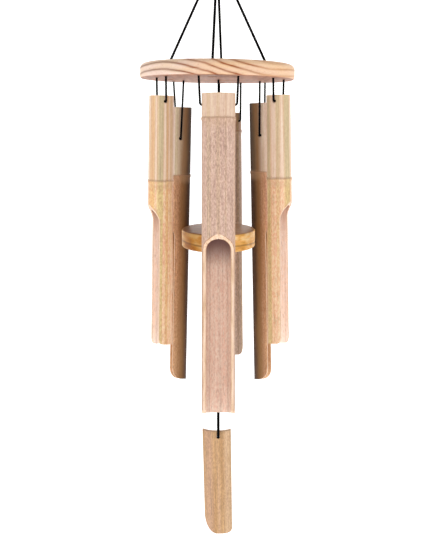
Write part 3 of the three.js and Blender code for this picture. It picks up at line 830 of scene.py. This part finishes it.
def scoop_height(tube, depth):
    """The height at which the scoop reaches a depth."""
    high = tube["scoop"] - tube["hole"]
    low = high - SCOOP["run"]
    for _ in range(50):
        middle = (low + high) / 2
        if scoop_depth(tube, middle) > depth:
            high = middle
        else:
            low = middle
    return low


def outer_base(tube, z):
    rim, foot = tube["rim"] - tube["hole"], tube["foot"] - tube["hole"]
    return tube["rim_r"] + (tube["foot_r"] - tube["rim_r"]) * (rim - z) / (rim - foot)


def outer_radius(tube, z):
    """Outer radius with the node's low ridge and the groove of its sheath scar."""
    from_node = z - (tube["node"] - tube["hole"])
    ridge = NODE["ridge"] * math.exp(-((from_node + NODE["ridge_drop"]) / NODE["ridge_spread"]) ** 2)
    scar = NODE["scar"] * math.exp(-((from_node - NODE["scar_lift"]) / NODE["scar_spread"]) ** 2)
    return outer_base(tube, z) - NODE["shoulder"] + ridge - scar


def foot_height(tube, x, y):
    """Height of the foot at a place in the tube's plan: slanted, and rounded up by the cut."""
    width, height = tube["corner"]
    facing = math.radians(tube["facing"])
    behind = x * math.sin(facing) + y * math.cos(facing)
    level = tube["foot"] - tube["hole"] + tube["slant"] * (tube["foot_r"] - behind)
    over = 1 - min(1, max(0, (y + SCOOP["depth"] * tube["foot_r"]) / width))
    return level + height * (1 - math.sqrt(1 - over ** 2))


def tube_heights(tube):
    """Row heights from rim to foot, closer at the node and the scoop's arch."""
    rim, foot = tube["rim"] - tube["hole"], tube["foot"] - tube["hole"]
    node = tube["node"] - tube["hole"]
    opening = scoop_height(tube, outer_base(tube, tube["scoop"] - tube["hole"]) - tube["wall"])
    start = scoop_height(tube, outer_radius(tube, tube["scoop"] - tube["hole"]) - 0.001)
    rows = {rim, foot, start, opening}
    rows |= {rim - 0.4 * i for i in range(1, 4)}
    rows |= {node + 0.4 * i for i in range(-10, 11)}
    rows |= {start + (opening - start) * (i / 9) for i in range(1, 9)}
    bottom = tube["scoop"] - tube["hole"] - SCOOP["run"]
    rows |= {opening + (bottom - opening) * (i / 16) for i in range(1, 17)}
    rows |= {bottom - 0.8 * i for i in range(1, 5)}
    z = rim - 3
    while z > foot + FOOT_ZONE:
        if all(abs(z - other) > 1.2 for other in rows):
            rows.add(z)
        z -= 3
    rows |= {foot + FOOT_ZONE * i / 15 for i in range(1, 16)}
    return sorted(rows, reverse=True)


def make_tube_mesh(name, tube, materials):
    """A channel of bamboo: skin, bore and cut faces built row by row and welded along their shared lines."""
    columns = 88
    rows = tube_heights(tube)
    foot = tube["foot"] - tube["hole"]
    points, faces, slots = [], [], []

    def place(x, y, z):
        if z < foot + FOOT_ZONE:
            share = (foot + FOOT_ZONE - z) / FOOT_ZONE
            z = foot + FOOT_ZONE + (foot_height(tube, x, y) - foot - FOOT_ZONE) * share
        points.append((x, y, z))

    def sheet(grid_rows, width, across):
        base = len(points) - grid_rows * width
        for i in range(grid_rows - 1):
            for k in range(width - 1):
                a = base + i * width + k
                faces.append((a, a + 1, a + width + 1, a + width))
                slots.append(across[k % len(across)])

    def opening(radius, z):
        depth = scoop_depth(tube, z)
        return 0.0 if depth is None or depth >= radius else math.acos(depth / radius)

    def oval(around, z):
        uneven = noise.noise((3 * math.cos(around), 3 * math.sin(around), z * 0.03 + tube["x"]))
        return 1 + OVAL["squeeze"] * math.cos(2 * around + tube["x"]) + OVAL["uneven"] * uneven

    def ring(radius, z, half_angle):
        for k in range(columns + 1):
            around = half_angle + (TAU - 2 * half_angle) * k / columns
            reach = radius * oval(around, z)
            place(reach * math.sin(around), -reach * math.cos(around), z)

    def wall(z):
        return outer_base(tube, z) - tube["wall"]

    for z in rows:
        ring(outer_radius(tube, z), z, opening(outer_radius(tube, z), z))
    sheet(len(rows), columns + 1, [0])

    node = tube["node"] - tube["hole"]
    under, over = node - NODE["septum"] / 2, node + NODE["septum"] / 2
    lower = [z for z in rows if z < under - 3]
    upper = [z for z in rows if z > over + 2]
    rounding = [(math.cos(math.radians(a)), math.sin(math.radians(a))) for a in (15, 35, 55, 75, 90)]
    cap = [(wall(under) - 3 + 3 * c, under - 3 + 3 * s) for c, s in [(1, 0), *rounding]]
    cap += [((wall(under) - 3) * share, under) for share in (0.6, 0.25, 0.0)]
    for radius, z in reversed(cap):
        ring(radius, z, 0.0)
    for z in lower:
        ring(wall(z), z, opening(wall(z), z))
    sheet(len(cap) + len(lower), columns + 1, [1])
    cup = [(wall(over) - 2 + 2 * c, over + 2 - 2 * s) for c, s in [(1, 0), *rounding]]
    cup += [((wall(over) - 2) * share, over) for share in (0.6, 0.25, 0.0)]
    for z in upper:
        ring(wall(z), z, 0.0)
    for radius, z in cup:
        ring(radius, z, 0.0)
    sheet(len(upper) + len(cup), columns + 1, [1])

    for end, height in ((rows[0], 0), (rows[-1], 1)):
        ring(outer_radius(tube, end), end, opening(outer_radius(tube, end), end))
        ring(wall(end), end, opening(wall(end), end))
        sheet(2, columns + 1, [2])

    def cut_line(sign, z):
        """Four points across a cut face at a height, from skin to bore or to the middle of the cut."""
        outer, inner = outer_radius(tube, z), wall(z)
        a, b = opening(outer, z), opening(inner, z)
        reach = outer * oval(sign * a, z)
        start = (sign * reach * math.sin(a), -reach * math.cos(a))
        end = start
        if b > 0:
            reach = inner * oval(sign * b, z)
            end = (sign * reach * math.sin(b), -reach * math.cos(b))
        elif a > 0:
            end = (0.0, -max(scoop_depth(tube, z), inner * oval(0.0, z)))
        for share in (0, CUT_EDGE, 1 - CUT_EDGE, 1):
            place(start[0] + (end[0] - start[0]) * share, start[1] + (end[1] - start[1]) * share, z)

    first = next(i for i, z in enumerate(rows) if opening(outer_radius(tube, z), z) > 0)
    cut_rows = rows[first - 1:]
    bored = next(i for i, z in enumerate(cut_rows) if opening(wall(z), z) > 0)
    for sign in (1, -1):
        for part, across in ((cut_rows[:bored + 1], [3, 2, 2]), (cut_rows[bored:], [3, 2, 3])):
            for z in part:
                cut_line(sign, z)
            sheet(len(part), 4, across)
    return link_mesh(name, points, faces, materials, slots)


def tube_frame(tube):
    place = Matrix.Translation(Vector((tube["x"], tube["y"], tube["hole"])) * MM)
    return place @ Matrix.Rotation(math.radians(tube["facing"]), 4, "Z") @ Matrix.Rotation(
        -math.radians(tube["lean"]), 4, "X")


TUBE_LOOKS = {
    # name: skin, painted shade on one side (the way it faces in plan, where the painted shade starts and is
    # full, and where it deepens, as shares of the radius, and its depth), bore colours near the foot and
    # painted shade under the arch
    "front": ("front", None, (0.76, 0.54, 0.43), (0.24, 0.12, 0.10)),
    "left_front": ("side", None, (0.96, 0.76, 0.64), (0.78, 0.55, 0.43)),
    "right_front": ("side", None, (0.96, 0.76, 0.64), (0.78, 0.55, 0.43)),
    "left_back": ("rear", (90, -0.20, 0.55, 0.45, 0.92), (0.68, 0.42, 0.24), (0.40, 0.22, 0.12)),
    "right_back": ("rear", (-90, -0.20, 0.55, 0.45, 0.92), (0.68, 0.42, 0.24), (0.40, 0.22, 0.12)),
    "back": ("back", None, (0.45, 0.32, 0.22), (0.20, 0.11, 0.07)),
}


def make_tubes(cut_face, cut_edge):
    for name, tube in TUBES.items():
        skin, shaded, pale, dark = TUBE_LOOKS[name]
        materials = [bamboo_skin(f"bamboo_{name}", skin, tube, shaded),
                     bamboo_bore(f"bore_{name}", tube, pale, dark), cut_face, cut_edge]
        piece = make_tube_mesh(f"bamboo_tube_{name}", tube, materials)
        reach = tube["foot_r"] + 4
        rod = cylinders("cord_holes", [((-reach, 0, 0), (reach, 0, 0), STRAND["hole"] / 2)], 24, cut_face)
        cut(piece, rod)
        shade(piece)
        settle(piece, tube_frame(tube))
        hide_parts(f"tube_{name}")
        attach(piece, f"tube_{name}")


def make_tube_cords(material):
    for name, tube in TUBES.items():
        angle = math.radians(tube["facing"])
        across = Vector((math.cos(angle), math.sin(angle), 0))
        hole = Vector((tube["x"], tube["y"], tube["hole"]))
        aside = across * (outer_base(tube, 0) + GAP + STRAND["cord"] / 2)
        near, far = hole - aside, hole + aside
        tops = [on_board(x, y, TUCK["loop"] - board_half) for x, y in pair_holes(tube)]
        route = [tops[0], *corner(tops[0], near, far, STRAND["bend"]),
                 *corner(near, far, tops[1], STRAND["bend"]), tops[1]]
        loop = twisted(f"tube_cord_{name}", route, STRAND["cord"], material)
        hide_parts(f"tube_loop_{name}")
        declare_cord(loop, f"loop_{name}", route)

        lift = board_half - STRAND["groove"] + GAP + STRAND["cord"] / 2
        (ax, ay), (bx, by) = pair_holes(tube)
        low = [on_board(x, y, TUCK["tie"] - board_half) for x, y in pair_holes(tube)]
        high = [on_board(x, y, lift) for x, y in pair_holes(tube)]
        over = [low[0], *corner(low[0], high[0], high[1], STRAND["bend"]),
                *corner(high[0], high[1], low[1], STRAND["bend"]), low[1]]
        middle = on_board((ax + bx) / 2, (ay + by) / 2,
                          board_half - STRAND["pocket_depth"] + GAP + KNOT_SQUASH * STRAND["tie"])
        knot = tied_knot(f"tube_tie_knot_{name}", middle, STRAND["tie"], 1.3, "board", material)
        tie = twisted(f"tube_tie_cord_{name}", over, STRAND["cord"], material)
        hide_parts(f"tube_tie_{name}")
        declare_cord(tie, "board", over)


# ---------- clapper ----------

pocket_roof = CLAPPER["pocket_depth"] - board_half
collar_height = on_board(CLAPPER["x"], 0, pocket_roof - GAP - CLAPPER["collar"]).z
clapper_knot_height = CLAPPER["top"] - CLAPPER["thickness"] - GAP - CLAPPER["knot"]
sail_knot_height = clapper_knot_height - CLAPPER["knot"] - GAP - SAIL["knot"]


def on_cord(z):
    return Vector((CLAPPER["x"], 0, z))


clapper_frame = Matrix.Translation(on_cord(CLAPPER["top"] - CLAPPER["thickness"] / 2) * MM)


def make_clapper(material):
    wood = clapper_wood(clapper_frame)
    edge, half = CLAPPER["edge"], CLAPPER["thickness"] / 2
    inner = CLAPPER["radius"] - edge
    profile = [(0, -half), (inner * 0.5, -half), *arc(inner, edge - half, edge, -90, 0, 6),
               *arc(inner, half - edge, edge, 0, 90, 6), (inner * 0.5, half), (0, half)]
    disc = lathe("clapper_disc", profile, 128, [wood])
    rod = cylinders("clapper_hole", [((0, 0, -half - 1), (0, 0, half + 1), CLAPPER["hole"] / 2)], 24, wood)
    cut(disc, rod)
    soften(disc, 0.25, angle=50)
    settle(disc, clapper_frame)
    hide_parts("clapper")
    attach(disc, "clapper")

    stop = on_board(CLAPPER["x"], 0, board_half + GAP + KNOT_SQUASH * SUSPENSION["end_knot"])
    in_board = [on_board(CLAPPER["x"], 0, pocket_roof + 0.5), stop]
    stub = twisted("clapper_stop_cord", in_board, CLAPPER["cord"], material)
    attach(stub, "board")
    stop_knot = tied_knot("clapper_stop_tied", stop, SUSPENSION["end_knot"], 1.6, "board", material)
    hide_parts("clapper_stop_knot")
    collar = tied_knot("clapper_collar_tied", on_cord(collar_height), CLAPPER["collar"], 1.4,
                       "clapper_collar", material)
    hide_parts("clapper_collar_knot")

    route = [on_cord(collar_height - TUCK["line"]), on_cord(CLAPPER["top"]), on_cord(clapper_knot_height)]
    rest = tied_knot("clapper_rest_tied", route[-1], CLAPPER["knot"], 1.6, "clapper", material)
    line = twisted("clapper_line", route, CLAPPER["cord"], material)
    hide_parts("clapper_cord")
    declare_cord(line, "clapper", route)


# ---------- sail ----------

sail_hole = SAIL["top"] - SAIL["hole_drop"]
sail_pivot = sail_hole + SAIL["hole"] / 2 - SAIL["cord"] / 2 - GAP


def sail_outline(steps=60):
    """Height, left edge and right edge of the slat's rows from top to foot, in the sail's own frame."""
    top = SAIL["top"] - sail_pivot
    foot = top - SAIL["height"]
    corners = SAIL["corner_left"], SAIL["corner_right"]
    rows = {top + (foot - top) * i / steps for i in range(steps)}
    rows |= {foot + height * (1 - math.sin(math.pi / 2 * k / 20)) for _, height in corners for k in range(21)}
    edges = []
    for z in sorted(rows, reverse=True):
        half = (SAIL["width"] + (SAIL["foot_width"] - SAIL["width"]) * (top - z) / SAIL["height"]) / 2
        left, right = [width * (1 - math.sqrt(1 - max(0, 1 - (z - foot) / height) ** 2))
                       for width, height in corners]
        edges.append((z, left - half - SAIL["hole_aside"], half - right - SAIL["hole_aside"]))
    return edges


sail_frame = Matrix.Translation(Vector((CLAPPER["x"], SAIL["shift"], sail_pivot)) * MM) @ Matrix.Rotation(
    math.radians(SAIL["turn"]), 4, "Y")


def make_sail(material):
    wood = sail_bamboo(sail_frame)
    bow, thickness = SAIL["bow"], SAIL["thickness"]
    across, points, faces, slots = 28, [], [], []
    edges = sail_outline()
    for radius in (bow, bow - thickness):
        for z, left, right in edges:
            for k in range(across + 1):
                x = left + (right - left) * k / across
                curve = 0.12 * math.sin(z * 0.045)
                points.append((x, -math.sqrt(radius ** 2 - x ** 2) + curve, z))
    rows, width = len(edges), across + 1
    for base in (0, rows * width):
        for i in range(rows - 1):
            for k in range(across):
                a = base + i * width + k
                faces.append((a, a + 1, a + width + 1, a + width))
    back = rows * width
    for i in range(rows - 1):
        for k in (0, across):
            a = i * width + k
            faces.append((a, a + width, back + a + width, back + a))
    for i in (0, rows - 1):
        for k in range(across):
            a = i * width + k
            faces.append((a, a + 1, back + a + 1, back + a))
    sail = link_mesh("sail_slat", points, faces, [wood])
    drop = sail_hole - sail_pivot
    rod = cylinders("sail_hole", [((0, -2 * bow, drop), (0, 2 * bow, drop), SAIL["hole"] / 2)], 28, wood)
    cut(sail, rod)
    soften(sail, 0.35, angle=45)
    settle(sail, sail_frame)
    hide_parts("sail")
    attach(sail, "sail")

    face = SAIL["shift"] - bow
    tied = tied_knot("sail_top_tied", on_cord(sail_knot_height), SAIL["knot"], 1.6, "sail_knot", material)
    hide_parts("sail_knot")
    start = on_cord(sail_knot_height - TUCK["line"])
    turn = Vector((CLAPPER["x"], face - GAP - SAIL["cord"] / 2, sail_pivot))
    knot = Vector((CLAPPER["x"], face + thickness + GAP + SAIL["knot"], sail_pivot))
    route = [start, start.lerp(turn, 0.5), *corner(start, turn, knot, SAIL["bend"]), knot]
    end = tied_knot("sail_end_tied", knot, SAIL["knot"], 1.6, "sail_cord", material, axis="Y")
    line = twisted("sail_line", route, SAIL["cord"], material)
    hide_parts("sail_cord")
    declare_cord(line, "sail_cord", route)


# ---------- the scene ----------

place_camera()
place_lights()
make_stage()
cord_look = black_cord()
make_ring(ring_steel())
make_gathering_knot(cord_look)
make_board()
make_suspension(cord_look)
make_tubes(bamboo_cut("bamboo_cut", (1, 1, 1)), bamboo_cut("bamboo_cut_edge", (0.56, 0.43, 0.36)))
make_tube_cords(cord_look)
make_clapper(cord_look)
make_sail(cord_look)
